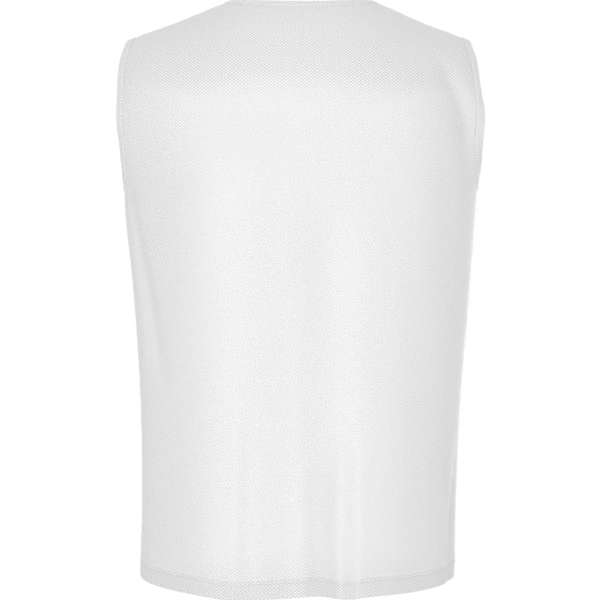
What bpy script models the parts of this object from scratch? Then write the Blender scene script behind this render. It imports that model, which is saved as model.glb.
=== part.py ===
# A sleeveless training bib in open mesh, with the hollow shape that it has when worn.
# It is sewn from a front and a back panel, joined at the shoulders and the sides. A folded strip binds the
# neck and each armhole, and the hem is turned up.
# Units are metres. The wearer faces -Y, so the wearer's left is +X. The origin is the middle of the neck
# opening, level with the top of the shoulders.

import math
from collections import namedtuple

import bpy
from mathutils import Vector

# Walls and seams
SEAM_GAP = 0.0003
CLOTH_WALL = 0.0012
HEM_WALL = 0.0022
HEM_DEPTH = 0.023
HEM_STEP = 0.0015
BINDING_GAP = 0.0005
BINDING_WALL = 0.0024
BINDING_BEVEL = 0.0008
BINDING_PROUD = 0.0006
NECK_BINDING_WIDTH = 0.010
ARM_BINDING_WIDTH = 0.011

# Shoulders and neckline, measured at the panels' cut edges
NECK_HALF_WIDTH = 0.090
NECK_CORNER_HEIGHT = -0.0045
SHOULDER_TIP_X = 0.1885
SHOULDER_TIP_HEIGHT = -0.0435
SHOULDER_SAG = 0.0010
BACK_NECK_DROP = 0.0075
BACK_NECK_POWER = 1.0
FRONT_NECK_DROP = 0.088
FRONT_NECK_POWER = 0.65

# How far below the shoulder line the cloth has turned fully down, at the middle and at the shoulder's tip
BACK_ROUNDING = 0.110
FRONT_ROUNDING = 0.125
TIP_ROUNDING = 0.075

# Armholes and hem
UNDERARM_HEIGHT = -0.222
ARMHOLE_FULL_HEIGHT = -0.125
ARMHOLE_ANGLE = math.radians(26.0)
SIDE_HEM_HEIGHT = -0.667
BACK_HEM_DROP = 0.010
FRONT_HEM_DROP = 0.004
HEM_DROP_POWER = 0.6
HEM_FOLD_SHARE = 0.45
HEM_SWELL_LIFT = 0.18

# A level section is a rounded box between an ellipse (2) and a rectangle.
SECTION_POWER = 2.25

# Half width of the whole ring, which above the underarm runs on past the armhole's edge, depth at the middle
# of the back and of the front, and how far the section's middle lies to the wearer's left.
Section = namedtuple("Section", "height half_width back_depth front_depth shift")
SECTIONS = (
    Section(0.000, 0.1890, 0.112, 0.094, -0.0020),
    Section(-0.0435, 0.2076, 0.115, 0.097, 0.0015),
    Section(-0.070, 0.2172, 0.118, 0.102, 0.0015),
    Section(-0.100, 0.2218, 0.121, 0.110, 0.0005),
    Section(-0.140, 0.2240, 0.124, 0.121, -0.0010),
    Section(-0.185, 0.2130, 0.125, 0.129, -0.0020),
    Section(-0.215, 0.2062, 0.124, 0.132, -0.0010),
    Section(-0.245, 0.2042, 0.123, 0.133, -0.0005),
    Section(-0.350, 0.1955, 0.117, 0.130, -0.0020),
    Section(-0.465, 0.1875, 0.115, 0.125, -0.0008),
    Section(-0.580, 0.1843, 0.119, 0.122, 0.0010),
    Section(-0.667, 0.1850, 0.124, 0.124, 0.0030),
)

# Soft folds. An angle goes round the body from the wearer's left side seam (0) past the middle of the back
# (90) to the right side seam (180) and the middle of the front (270). Rise is outwards, and below 0 it is a
# trough.
Fold = namedtuple("Fold", "top_height end_height top_angle end_angle spread rise")
FOLDS = (
    Fold(-0.110, -0.750, 75.0, 70.0, 11.0, 0.0075),
    Fold(-0.200, -0.750, 95.0, 96.0, 6.0, -0.0055),
    Fold(-0.210, -0.750, 97.0, 105.0, 6.5, 0.0050),
    Fold(-0.240, -0.480, 119.0, 121.0, 8.0, 0.0030),
    Fold(-0.170, -0.480, 14.0, 38.0, 6.0, -0.0045),
    Fold(-0.080, -0.260, 134.0, 165.0, 6.5, -0.0045),
    Fold(-0.200, -0.750, 252.0, 247.0, 10.0, 0.0070),
    Fold(-0.260, -0.750, 271.0, 268.0, 7.0, -0.0055),
    Fold(-0.230, -0.750, 288.0, 293.0, 9.0, 0.0065),
    Fold(-0.160, -0.430, 196.0, 214.0, 6.5, -0.0045),
    Fold(-0.150, -0.460, 343.0, 325.0, 6.5, -0.0045),
)
FOLD_FADE = 0.110

# Broad swells and the creases among them, which lift the hem a little instead of letting it down
SWELLS = (
    Fold(-0.100, -0.800, 80.0, 80.0, 30.0, 0.0090),
    Fold(-0.120, -0.800, 69.0, 69.0, 16.0, 0.0110),
    Fold(-0.120, -0.800, 74.0, 70.0, 10.0, -0.0040),
    Fold(-0.200, -0.800, 98.5, 100.5, 5.0, -0.0045),
    Fold(-0.200, -0.800, 107.0, 108.0, 10.0, 0.0040),
    Fold(-0.380, -0.800, 116.0, 116.0, 13.0, 0.0060),
)

# How finely the cloth is divided
HEM_ROWS = 2
SHOULDER_COLUMNS = 9
NECK_COLUMNS = 16
BODY_ROWS = 9
YOKE_ROWS = 13
TIP_CROWDING = 1.3
SAMPLES = 80
ON_SEAM = 1e-4

CLOTH_COLOUR = (0.86, 0.87, 0.88, 1.0)
BINDING_COLOUR = (0.84, 0.85, 0.86, 1.0)
CLOTH_ROUGHNESS = 0.75
SHARP_EDGE_ANGLE = math.radians(50.0)

SHOULDER_SLOPE = (NECK_CORNER_HEIGHT - SHOULDER_TIP_HEIGHT) / (SHOULDER_TIP_X - NECK_HALF_WIDTH)
BACK = 1
FRONT = -1


def clear_scene():
    for thing in list(bpy.data.objects):
        bpy.data.objects.remove(thing)


def section_value(height, column):
    """One column of SECTIONS at any height, on a smooth curve through its rows."""
    heights = [row.height for row in SECTIONS]
    values = [getattr(row, column) for row in SECTIONS]
    if height >= heights[0]:
        return values[0]
    if height <= heights[-1]:
        return values[-1]
    row = next(i for i in range(len(heights) - 1) if height >= heights[i + 1])

    def slope(i):
        low = max(i - 1, 0)
        high = min(i + 1, len(heights) - 1)
        return (values[high] - values[low]) / (heights[high] - heights[low])

    span = heights[row + 1] - heights[row]
    t = (height - heights[row]) / span
    ease = t * t * (3 - 2 * t)
    start_bend = t * (1 - t) ** 2 * span * slope(row)
    end_bend = t * t * (t - 1) * span * slope(row + 1)
    return values[row] * (1 - ease) + values[row + 1] * ease + start_bend + end_bend


def smooth_step(t):
    t = min(max(t, 0.0), 1.0)
    return t * t * (3 - 2 * t)


def fold_rise(folds, angle, height):
    """How far some folds carry the cloth outwards at a ring angle in degrees and a height."""
    total = 0.0
    for fold in folds:
        along = (fold.top_height - height) / (fold.top_height - fold.end_height)
        centre = fold.top_angle + (fold.end_angle - fold.top_angle) * min(max(along, 0.0), 1.0)
        away = (angle - centre + 180.0) % 360.0 - 180.0
        fade_in = smooth_step((fold.top_height - height) / FOLD_FADE)
        fade_out = smooth_step((height - fold.end_height) / FOLD_FADE)
        total += fold.rise * fade_in * fade_out * math.exp(-((away / fold.spread) ** 2))
    return total


def armhole_angle(height):
    """Angle from the side seam's line at which a panel's armhole edge lies."""
    if height <= UNDERARM_HEIGHT:
        return 0.0
    if height >= ARMHOLE_FULL_HEIGHT:
        return ARMHOLE_ANGLE
    t = (ARMHOLE_FULL_HEIGHT - height) / (ARMHOLE_FULL_HEIGHT - UNDERARM_HEIGHT)
    return ARMHOLE_ANGLE * math.sqrt(1 - t * t)


def crest_height(x):
    """Height of the shoulder line, carried on as a low arch between the neck corners."""
    x = abs(x)
    if x >= NECK_HALF_WIDTH:
        along = (x - NECK_HALF_WIDTH) / (SHOULDER_TIP_X - NECK_HALF_WIDTH)
        sag = 4 * SHOULDER_SAG * along * max(1 - along, 0.0)
        return NECK_CORNER_HEIGHT - SHOULDER_SLOPE * (x - NECK_HALF_WIDTH) - sag
    arch = (NECK_HALF_WIDTH**2 - x**2) / (2 * NECK_HALF_WIDTH)
    return NECK_CORNER_HEIGHT + SHOULDER_SLOPE * arch


def top_height(side, x):
    """Height of a panel's top edge: the shoulder seam outside the neck corners, the neckline between them."""
    if abs(x) >= NECK_HALF_WIDTH:
        return crest_height(x)
    drop = BACK_NECK_DROP if side == BACK else FRONT_NECK_DROP
    power = BACK_NECK_POWER if side == BACK else FRONT_NECK_POWER
    return NECK_CORNER_HEIGHT - drop * (1 - (x / NECK_HALF_WIDTH) ** 2) ** power


def rounding_depth(side, x):
    """How far below the shoulder line the cloth hangs straight, at a place across the body."""
    middle = BACK_ROUNDING if side == BACK else FRONT_ROUNDING
    towards_tip = min(abs(x) / SHOULDER_TIP_X, 1.0) ** 2
    return middle + (TIP_ROUNDING - middle) * towards_tip


def hem_height(side, across):
    """The hem hangs lowest at the middle of each panel, and lower on a ridge than in a trough."""
    drop = BACK_HEM_DROP if side == BACK else FRONT_HEM_DROP
    ring_angle = 180.0 * across if side == BACK else 360.0 - 180.0 * across
    middle_drop = drop * max(math.sin(math.pi * across), 0.0) ** HEM_DROP_POWER
    fold_drop = HEM_FOLD_SHARE * fold_rise(FOLDS, ring_angle, SIDE_HEM_HEIGHT)
    swell_lift = HEM_SWELL_LIFT * fold_rise(SWELLS, ring_angle, SIDE_HEM_HEIGHT)
    return SIDE_HEM_HEIGHT - middle_drop - fold_drop + swell_lift


def body_point(side, across, height):
    """A point of the outer surface. across runs from 0 on the wearer's left to 1 on the wearer's right."""
    start = armhole_angle(height)
    angle = start + (math.pi - 2 * start) * across
    half_width = section_value(height, "half_width")
    depth = section_value(height, "back_depth" if side == BACK else "front_depth")
    power = 2 / SECTION_POWER
    x = half_width * math.copysign(abs(math.cos(angle)) ** power, math.cos(angle))
    below = min(max((crest_height(x) - height) / rounding_depth(side, x), 0.0), 1.0)
    swell = math.sqrt(1 - (1 - below) ** 2)
    y = depth * max(math.sin(angle), 0.0) ** power * swell
    ring_angle = math.degrees(angle) if side == BACK else 360.0 - math.degrees(angle)
    outwards = Vector((math.cos(angle) / half_width, math.sin(angle) / depth)).normalized()
    rise = fold_rise(FOLDS + SWELLS, ring_angle, height)
    shift = section_value(height, "shift")
    return Vector((x + rise * outwards.x + shift, side * (y + rise * outwards.y), height))


def column_across(side, x):
    """The across value of the column whose top lies at x. The end columns run along the side seams."""
    if abs(x) >= SHOULDER_TIP_X:
        return 0.0 if x > 0 else 1.0
    height = top_height(side, x)
    start = armhole_angle(height)
    ratio = min(abs(x) / section_value(height, "half_width"), 1.0)
    angle = math.acos(ratio ** (SECTION_POWER / 2))
    across = max((angle - start) / (math.pi - 2 * start), 0.0)
    return across if x >= 0 else 1 - across


def column_tops():
    """Where the columns meet the top edge: closer towards the shoulder tips, in even turns round the neck."""
    reach = SHOULDER_TIP_X - NECK_HALF_WIDTH
    steps = [(i / SHOULDER_COLUMNS) ** TIP_CROWDING for i in range(SHOULDER_COLUMNS)]
    left = [SHOULDER_TIP_X - reach * step for step in steps]
    neck = [NECK_HALF_WIDTH * math.cos(math.pi * i / NECK_COLUMNS) for i in range(NECK_COLUMNS + 1)]
    neck[0] = NECK_HALF_WIDTH
    neck[-1] = -NECK_HALF_WIDTH
    return left + neck + [-x for x in reversed(left)]


def even_heights(side, across, low, high, count):
    """Heights that divide a column's length from low to high into equal stretches, low left out.

    The samples crowd at the underarm, where the armhole's edge leaves the seam, and at the shoulder line,
    where the cloth turns level.
    """
    bend = max(high - BACK_ROUNDING, low)
    straight = [low + (bend - low) * (i / SAMPLES) ** 2 for i in range(SAMPLES)]
    turn = [bend + (high - bend) * math.sin(math.pi / 2 * i / SAMPLES) for i in range(SAMPLES + 1)]
    heights = straight + turn
    points = [body_point(side, across, height) for height in heights]
    lengths = [0.0]
    for before, after in zip(points, points[1:]):
        lengths.append(lengths[-1] + (after - before).length)
    found = []
    place = 0
    for i in range(1, count + 1):
        wanted = lengths[-1] * i / count
        while place < len(lengths) - 2 and lengths[place + 1] < wanted:
            place += 1
        stretch = lengths[place + 1] - lengths[place]
        t = (wanted - lengths[place]) / stretch if stretch else 1.0
        found.append(heights[place] + (heights[place + 1] - heights[place]) * min(t, 1.0))
    return found


def column_heights(side, across, x):
    hem = hem_height(side, across)
    fold_line = hem + HEM_DEPTH
    body_start = fold_line + HEM_STEP
    body = [body_start + (UNDERARM_HEIGHT - body_start) * i / BODY_ROWS for i in range(BODY_ROWS + 1)]
    yoke = even_heights(side, across, UNDERARM_HEIGHT, top_height(side, x), YOKE_ROWS)
    return [hem, fold_line] + body + yoke


def panel_grid(side):
    """Columns of outer points, each from the hem up to the top edge."""
    grid = []
    for x in column_tops():
        across = column_across(side, x)
        grid.append([body_point(side, across, height) for height in column_heights(side, across, x)])
    return grid


def grid_normals(grid):
    """Outward normals of a panel's grid. Along the seams they have no part across the seam."""
    normals = []
    last_column = len(grid) - 1
    for i, column in enumerate(grid):
        row_of_normals = []
        for j, point in enumerate(column):
            before = grid[max(i - 1, 0)][j]
            after = grid[min(i + 1, last_column)][j]
            above = column[min(j + 1, len(column) - 1)]
            under = column[max(j - 1, 0)]
            normal = (after - before).cross(above - under)
            if normal.dot(Vector((point.x, point.y, 0.0))) < 0:
                normal.negate()
            if abs(point.y) < ON_SEAM:
                normal.y = 0.0
            row_of_normals.append(normal.normalized())
        normals.append(row_of_normals)
    return normals


def split_quad(corners, points):
    """The two triangles of a quad, cut along its shorter diagonal."""
    a, b, c, d = corners
    if (points[a] - points[c]).length <= (points[b] - points[d]).length:
        return (a, b, c), (a, c, d)
    return (a, b, d), (b, c, d)


def row_wall(row):
    return HEM_WALL if row < HEM_ROWS else CLOTH_WALL


def add_object(name, points, faces, colour):
    mesh = bpy.data.meshes.new(name)
    mesh.from_pydata([tuple(point) for point in points], [], faces)
    mesh.validate()
    mesh.shade_smooth()
    mesh.set_sharp_from_angle(angle=SHARP_EDGE_ANGLE)
    material = bpy.data.materials.new(name + "_cloth")
    material.use_nodes = True
    shader = material.node_tree.nodes["Principled BSDF"]
    shader.inputs["Base Color"].default_value = colour
    shader.inputs["Roughness"].default_value = CLOTH_ROUGHNESS
    shader.inputs["Metallic"].default_value = 0.0
    material.diffuse_color = colour
    mesh.materials.append(material)
    thing = bpy.data.objects.new(name, mesh)
    bpy.context.scene.collection.objects.link(thing)
    return thing


def make_panel(name, side, grid, normals):
    """A panel: its outer grid, the same grid one wall further in, and a rim that joins them."""
    columns = len(grid)
    rows = len(grid[0])
    seam_shift = Vector((0.0, side * SEAM_GAP / 2, 0.0))
    outer = [point + seam_shift for column in grid for point in column]
    inner = []
    for column, column_normals in zip(grid, normals):
        for row, (point, normal) in enumerate(zip(column, column_normals)):
            inner.append(point + seam_shift - normal * row_wall(row))
    under = columns * rows

    def at(i, j):
        return i * rows + j

    faces = []
    for i in range(columns - 1):
        for j in range(rows - 1):
            corners = (at(i, j), at(i + 1, j), at(i + 1, j + 1), at(i, j + 1))
            for corner_set in split_quad(corners, outer):
                faces.append(corner_set)
                faces.append(tuple(under + corner for corner in reversed(corner_set)))
    border = [at(i, 0) for i in range(columns)]
    border += [at(columns - 1, j) for j in range(1, rows)]
    border += [at(i, rows - 1) for i in range(columns - 2, -1, -1)]
    border += [at(0, j) for j in range(rows - 2, 0, -1)]
    for start, end in zip(border, border[1:] + border[:1]):
        faces.append((start, under + start, under + end, end))
    if side == FRONT:
        faces = [tuple(reversed(face)) for face in faces]
    return add_object(name, outer + inner, faces, CLOTH_COLOUR)


def binding_section(width):
    """Places across a folded strip: how far from the seam, and how far out from the cloth's outer face."""
    inner_face = BINDING_PROUD - BINDING_WALL
    return (
        (BINDING_GAP, BINDING_PROUD / 2),
        (BINDING_BEVEL, BINDING_PROUD),
        (width - BINDING_BEVEL, BINDING_PROUD),
        (width, BINDING_PROUD - BINDING_WALL / 2),
        (width - BINDING_BEVEL, inner_face),
        (BINDING_GAP, inner_face),
    )


def make_binding(name, edge, width):
    """A strip round an opening. edge is a closed loop of (point, normal, point one step into the cloth)."""
    section = binding_section(width)
    count = len(edge)
    points = []
    for i, (point, normal, inside) in enumerate(edge):
        along = edge[(i + 1) % count][0] - edge[i - 1][0]
        across = along.cross(normal).normalized()
        if across.dot(point - inside) < 0:
            across.negate()
        points += [point + across * reach + normal * lift for reach, lift in section]
    size = len(section)
    faces = []
    for i in range(count):
        here = i * size
        there = (i + 1) % count * size
        for k in range(size):
            after = (k + 1) % size
            faces.append((here + k, there + k, there + after, here + after))
    volume = sum(signed_volume([points[corner] for corner in face]) for face in faces)
    if volume < 0:
        faces = [tuple(reversed(face)) for face in faces]
    return add_object(name, points, faces, BINDING_COLOUR)


def signed_volume(corners):
    first = corners[0]
    return sum(first.dot(b.cross(c)) for b, c in zip(corners[1:], corners[2:]))


def edge_points(grid, normals, places):
    """(point, normal, inside point) for each (column, row, inner column, inner row) along a panel's edge."""
    return [(grid[i][j], normals[i][j], grid[m][n]) for i, j, m, n in places]


def join_edges(back_edge, front_edge):
    """A closed loop of two edges that share their end points, whose normals are averaged there."""
    loop = []
    for mine, other in ((back_edge[0], front_edge[0]), (back_edge[-1], front_edge[-1])):
        normal = (mine[1] + other[1]).normalized()
        loop.append(((mine[0] + other[0]) / 2, normal, (mine[2] + other[2]) / 2))
    return [loop[0]] + back_edge[1:-1] + [loop[1]] + list(reversed(front_edge[1:-1]))


def neck_places(columns, rows):
    top = rows - 1
    first = SHOULDER_COLUMNS
    last = columns - 1 - SHOULDER_COLUMNS
    return [(i, top, i, top - 1) for i in range(first, last + 1)]


def armhole_places(columns, rows, wearer_left):
    first = rows - 1 - YOKE_ROWS
    column = 0 if wearer_left else columns - 1
    inner = 1 if wearer_left else columns - 2
    places = [(column, j, inner, j) for j in range(first + 1, rows)]
    underarm = (column, first, column, first - 1)
    return [underarm] + places


def build_bib():
    clear_scene()
    back = panel_grid(BACK)
    front = panel_grid(FRONT)
    back_normals = grid_normals(back)
    front_normals = grid_normals(front)
    make_panel("back_panel", BACK, back, back_normals)
    make_panel("front_panel", FRONT, front, front_normals)
    columns = len(back)
    rows = len(back[0])
    openings = (
        ("neck_binding", neck_places(columns, rows), NECK_BINDING_WIDTH),
        ("armhole_binding_left", armhole_places(columns, rows, True), ARM_BINDING_WIDTH),
        ("armhole_binding_right", armhole_places(columns, rows, False), ARM_BINDING_WIDTH),
    )
    for name, places, width in openings:
        back_edge = edge_points(back, back_normals, places)
        front_edge = edge_points(front, front_normals, places)
        make_binding(name, join_edges(back_edge, front_edge), width)


build_bib()
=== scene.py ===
# Training bib in white mesh, hanging as it is worn, seen from the back.
import math

import bpy
import numpy as np
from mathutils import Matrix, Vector, noise


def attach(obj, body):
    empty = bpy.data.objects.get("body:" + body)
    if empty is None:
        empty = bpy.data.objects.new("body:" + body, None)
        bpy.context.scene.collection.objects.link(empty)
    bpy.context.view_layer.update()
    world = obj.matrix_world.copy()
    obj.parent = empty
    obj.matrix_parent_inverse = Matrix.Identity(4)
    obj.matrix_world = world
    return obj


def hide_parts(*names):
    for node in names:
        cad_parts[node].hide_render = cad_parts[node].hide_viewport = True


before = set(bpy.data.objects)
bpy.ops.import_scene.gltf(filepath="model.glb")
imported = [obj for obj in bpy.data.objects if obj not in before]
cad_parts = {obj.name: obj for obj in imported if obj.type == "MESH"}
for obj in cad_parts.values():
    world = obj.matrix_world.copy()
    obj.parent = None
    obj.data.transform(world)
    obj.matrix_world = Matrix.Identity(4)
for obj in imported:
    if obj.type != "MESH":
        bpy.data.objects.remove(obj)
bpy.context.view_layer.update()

back, front = 1, -1  # which half of the bib, and the side of y = 0 that it lies on

# How the bib is cut and how it sits. Heights are below the neck opening, in metres.
cut = {
    "neckHalfWidth": 0.090,
    "neckCorner": -0.0045,
    "shoulderTip": 0.1885,
    "tipHeight": -0.0435,
    "shoulderSag": 0.0010,
    "neckDrop": {back: 0.0075, front: 0.088},
    "neckPower": {back: 1.0, front: 0.65},
    "rounding": {back: 0.110, front: 0.125},
    "tipRounding": 0.075,
    "underarm": -0.222,
    "armholeFull": -0.125,
    "armholeAngle": math.radians(26.0),
    "sideHem": -0.667,
    "hemDrop": {back: 0.0100, front: 0.004},
    "hemPower": 0.6,
    "hemFoldShare": 0.45,
    "hemCreaseLift": 0.18,
    "sectionPower": 2.25,
    "seamGap": 0.0003,
}

# Level rings round the body. halfWidth is the whole ring's, and lean is how far its middle lies to the
# wearer's left.
ringColumns = ("height", "halfWidth", "back", "front", "lean")
rings = np.array([
    (0.0000, 0.1890, 0.112, 0.094, -0.0020),
    (-0.0435, 0.2076, 0.115, 0.097, 0.0015),
    (-0.0700, 0.2168, 0.118, 0.102, 0.0019),
    (-0.1000, 0.2205, 0.121, 0.110, 0.0011),
    (-0.1400, 0.2234, 0.124, 0.121, -0.0006),
    (-0.1850, 0.2138, 0.125, 0.129, -0.0012),
    (-0.2150, 0.2062, 0.124, 0.132, -0.0010),
    (-0.2450, 0.2042, 0.123, 0.133, -0.0005),
    (-0.3500, 0.1955, 0.117, 0.130, -0.0020),
    (-0.4650, 0.1875, 0.115, 0.125, -0.0008),
    (-0.5800, 0.1843, 0.119, 0.122, 0.0010),
    (-0.6670, 0.1850, 0.124, 0.124, 0.0030),
])

# The large folds: the heights where each one starts and ends, its angles there, how wide it is, how far it
# rises and over what height it fades. Angles go round from the wearer's left seam (0) past the middle of the
# back (90).
folds = [
    (-0.110, -0.750, 75.0, 70.0, 11.0, 0.0075, 0.110),
    (-0.200, -0.750, 95.0, 96.0, 6.0, -0.0055, 0.110),
    (-0.210, -0.750, 97.0, 105.0, 6.5, 0.0050, 0.110),
    (-0.240, -0.480, 119.0, 121.0, 8.0, 0.0030, 0.110),
    (-0.170, -0.480, 14.0, 38.0, 6.0, -0.0045, 0.110),
    (-0.080, -0.260, 134.0, 165.0, 6.5, -0.0045, 0.110),
    (-0.200, -0.750, 252.0, 247.0, 10.0, 0.0070, 0.110),
    (-0.260, -0.750, 271.0, 268.0, 7.0, -0.0055, 0.110),
    (-0.230, -0.750, 288.0, 293.0, 9.0, 0.0065, 0.110),
    (-0.160, -0.430, 196.0, 214.0, 6.5, -0.0045, 0.110),
    (-0.150, -0.460, 343.0, 325.0, 6.5, -0.0045, 0.110),
]

# The flat stretch from the left shoulder blade to the side seam
flank = {"angle": 26.0, "spread": 16.0, "depth": 0.006, "top": -0.160, "fade": 0.110}

# Smaller creases, in the same columns. At the hem they lift the edge, where the large folds lower it.
creases = [
    (-0.490, -0.750, 167.0, 160.0, 4.0, -0.0042, 0.110),
    (-0.100, -0.800, 80.0, 80.0, 30.0, 0.0090, 0.110),
    (-0.120, -0.800, 65.0, 64.5, 17.0, 0.0112, 0.110),
    (-0.120, -0.800, 74.0, 70.0, 10.0, -0.0040, 0.110),
    (-0.300, -0.800, 95.4, 96.0, 6.0, 0.0034, 0.110),
    (-0.200, -0.800, 98.6, 103.4, 6.0, -0.0078, 0.110),
    (-0.460, -0.800, 101.6, 104.4, 3.6, -0.0044, 0.090),
    (-0.500, -0.800, 101.0, 101.5, 4.5, -0.0032, 0.080),
    (-0.460, -0.800, 107.0, 108.4, 2.4, 0.0018, 0.090),
    (-0.480, -0.800, 90.5, 91.8, 2.4, 0.0020, 0.090),
    (-0.430, -0.800, 71.5, 71.0, 2.6, 0.0016, 0.100),
    (-0.430, -0.800, 75.6, 75.2, 2.4, -0.0012, 0.100),
    (-0.200, -0.800, 107.0, 108.0, 10.0, 0.0040, 0.110),
    (-0.160, -0.800, 87.8, 92.0, 2.5, 0.0009, 0.080),
    (-0.380, -0.800, 118.0, 119.0, 14.0, 0.0074, 0.110),
    (-0.120, -0.400, 128.0, 134.0, 9.0, 0.0022, 0.110),
    (-0.140, -0.800, 292.0, 289.0, 17.0, 0.0060, 0.110),
    (-0.300, -0.800, 262.0, 261.0, 5.0, -0.0022, 0.110),
    (-0.220, -0.800, 238.0, 236.0, 7.0, 0.0020, 0.100),
    (-0.470, -0.800, 275.0, 276.5, 2.8, 0.0016, 0.090),
    (-0.055, -0.200, 131.0, 152.0, 11.0, -0.0040, 0.060),
    (-0.055, -0.185, 133.0, 157.0, 5.0, -0.0048, 0.045),
]

# Swells and hollows of no great length: half, x, height, half width, half height, slant and rise
swells = [
    (back, 0.000, -0.092, 0.150, 0.022, 0.00, 0.0016),
    (back, -0.070, -0.048, 0.055, 0.018, -0.10, -0.0012),
]
swellEnds = {"top": cut["neckCorner"] - 0.010, "low": -0.640, "fade": 0.040}


# The bib's surface

def smoothStep(t):
    t = np.clip(t, 0.0, 1.0)
    return t * t * (3 - 2 * t)


def ramp(value, start, end):
    return smoothStep((value - start) / (end - start))


def bell(t):
    return np.exp(-(t**2))


def lengths(vectors):
    return np.linalg.norm(vectors, axis=-1)


def unit(vectors):
    return vectors / np.maximum(lengths(vectors), 1e-12)[..., None]


def running(steps):
    # how far along its line each point lies, from the steps between the points
    return np.pad(np.cumsum(steps, axis=-1), [(0, 0)] * (steps.ndim - 1) + [(1, 0)])


def ringValue(height, column):
    # one column of the rings at any height, on a smooth curve through its rows
    heights = rings[:, 0]
    values = rings[:, ringColumns.index(column)]
    last = len(heights) - 1
    low = np.maximum(np.arange(last + 1) - 1, 0)
    high = np.minimum(np.arange(last + 1) + 1, last)
    slopes = (values[high] - values[low]) / (heights[high] - heights[low])
    height = np.clip(height, heights[-1], heights[0])
    row = np.clip(np.searchsorted(-heights, -height, side="left") - 1, 0, last - 1)
    span = heights[row + 1] - heights[row]
    t = (height - heights[row]) / span
    ease = smoothStep(t)
    bend = t * (1 - t) ** 2 * span * slopes[row] + t * t * (t - 1) * span * slopes[row + 1]
    return values[row] * (1 - ease) + values[row + 1] * ease + bend


def foldRise(angle, height, table=folds):
    total = np.zeros(np.broadcast(angle, height).shape)
    for top, end, topAngle, endAngle, spread, rise, fade in table:
        along = np.clip((top - height) / (top - end), 0, 1)
        centre = topAngle + (endAngle - topAngle) * along
        away = (angle - centre + 180.0) % 360.0 - 180.0
        fadeIn = smoothStep((top - height) / fade)
        fadeOut = smoothStep((height - end) / fade)
        total = total + rise * fadeIn * fadeOut * bell(away / spread)
    return total


def flankDrop(angle, height):
    away = (angle - flank["angle"]) / flank["spread"]
    fade = smoothStep((flank["top"] - height) / flank["fade"])
    return flank["depth"] * fade * bell(away)


def swellRise(side, x, height):
    total = np.zeros(np.broadcast(x, height).shape)
    for half, middle, level, wide, tall, tilt, rise in swells:
        if half == side:
            along = x - middle
            up = height - level - tilt * along
            total = total + rise * bell(along / wide) * bell(up / tall)
    fadeTop = smoothStep((swellEnds["top"] - height) / swellEnds["fade"])
    fadeLow = smoothStep((height - swellEnds["low"]) / swellEnds["fade"])
    return total * (fadeTop * fadeLow)


def armholeAngle(height):
    t = np.clip((cut["armholeFull"] - height) / (cut["armholeFull"] - cut["underarm"]), 0, 1)
    return cut["armholeAngle"] * np.sqrt(1 - t * t)


def crestHeight(x):
    # the shoulder line, carried on as a low arch between the neck corners
    x = np.abs(x)
    neck, tip = cut["neckHalfWidth"], cut["shoulderTip"]
    slope = (cut["neckCorner"] - cut["tipHeight"]) / (tip - neck)
    along = np.clip((x - neck) / (tip - neck), 0, 1)
    sag = cut["shoulderSag"] * np.sin(np.pi * along) ** 2
    shoulder = cut["neckCorner"] - slope * (x - neck) - sag
    arch = cut["neckCorner"] + slope * (neck**2 - x**2) / (2 * neck)
    return np.where(x >= neck, shoulder, arch)


def topHeight(side, x):
    # the shoulder seam outside the neck corners, the neckline between them
    inside = np.clip(1 - (x / cut["neckHalfWidth"]) ** 2, 0, 1)
    neckline = cut["neckCorner"] - cut["neckDrop"][side] * inside ** cut["neckPower"][side]
    return np.where(np.abs(x) >= cut["neckHalfWidth"], crestHeight(x), neckline)


def hemHeight(side, across):
    ringAngle = 180.0 * across if side == back else 360.0 - 180.0 * across
    foldDrop = cut["hemFoldShare"] * foldRise(ringAngle, cut["sideHem"])
    creaseLift = cut["hemCreaseLift"] * foldRise(ringAngle, cut["sideHem"], creases)
    middleDrop = cut["hemDrop"][side] * np.maximum(np.sin(np.pi * across), 0) ** cut["hemPower"]
    return cut["sideHem"] - middleDrop - foldDrop + creaseLift


def bodyPoint(side, across, height):
    # a point of the outer surface, across from 0 on the wearer's left to 1 on the right
    start = armholeAngle(height)
    angle = start + (np.pi - 2 * start) * across
    cosine, sine = np.cos(angle), np.maximum(np.sin(angle), 0)
    halfWidth = ringValue(height, "halfWidth")
    depth = ringValue(height, "back" if side == back else "front")
    power = 2 / cut["sectionPower"]
    x = halfWidth * np.sign(cosine) * np.abs(cosine) ** power
    towardsTip = np.minimum(np.abs(x) / cut["shoulderTip"], 1.0) ** 2
    rounding = cut["rounding"][side] + (cut["tipRounding"] - cut["rounding"][side]) * towardsTip
    below = np.clip((crestHeight(x) - height) / rounding, 0, 1)
    y = depth * sine**power * np.sqrt(1 - (1 - below) ** 2)
    ringAngle = np.degrees(angle) if side == back else 360.0 - np.degrees(angle)
    outX, outY = cosine / halfWidth, sine / depth
    length = np.hypot(outX, outY)
    rise = foldRise(ringAngle, height) + foldRise(ringAngle, height, creases) + swellRise(side, x, height)
    y = y - flankDrop(ringAngle, height) * sine
    lean = ringValue(height, "lean")
    height = height + 0 * x
    return np.stack([x + rise * outX / length + lean, side * (y + rise * outY / length), height], axis=-1)


print("surface ready")

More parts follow.
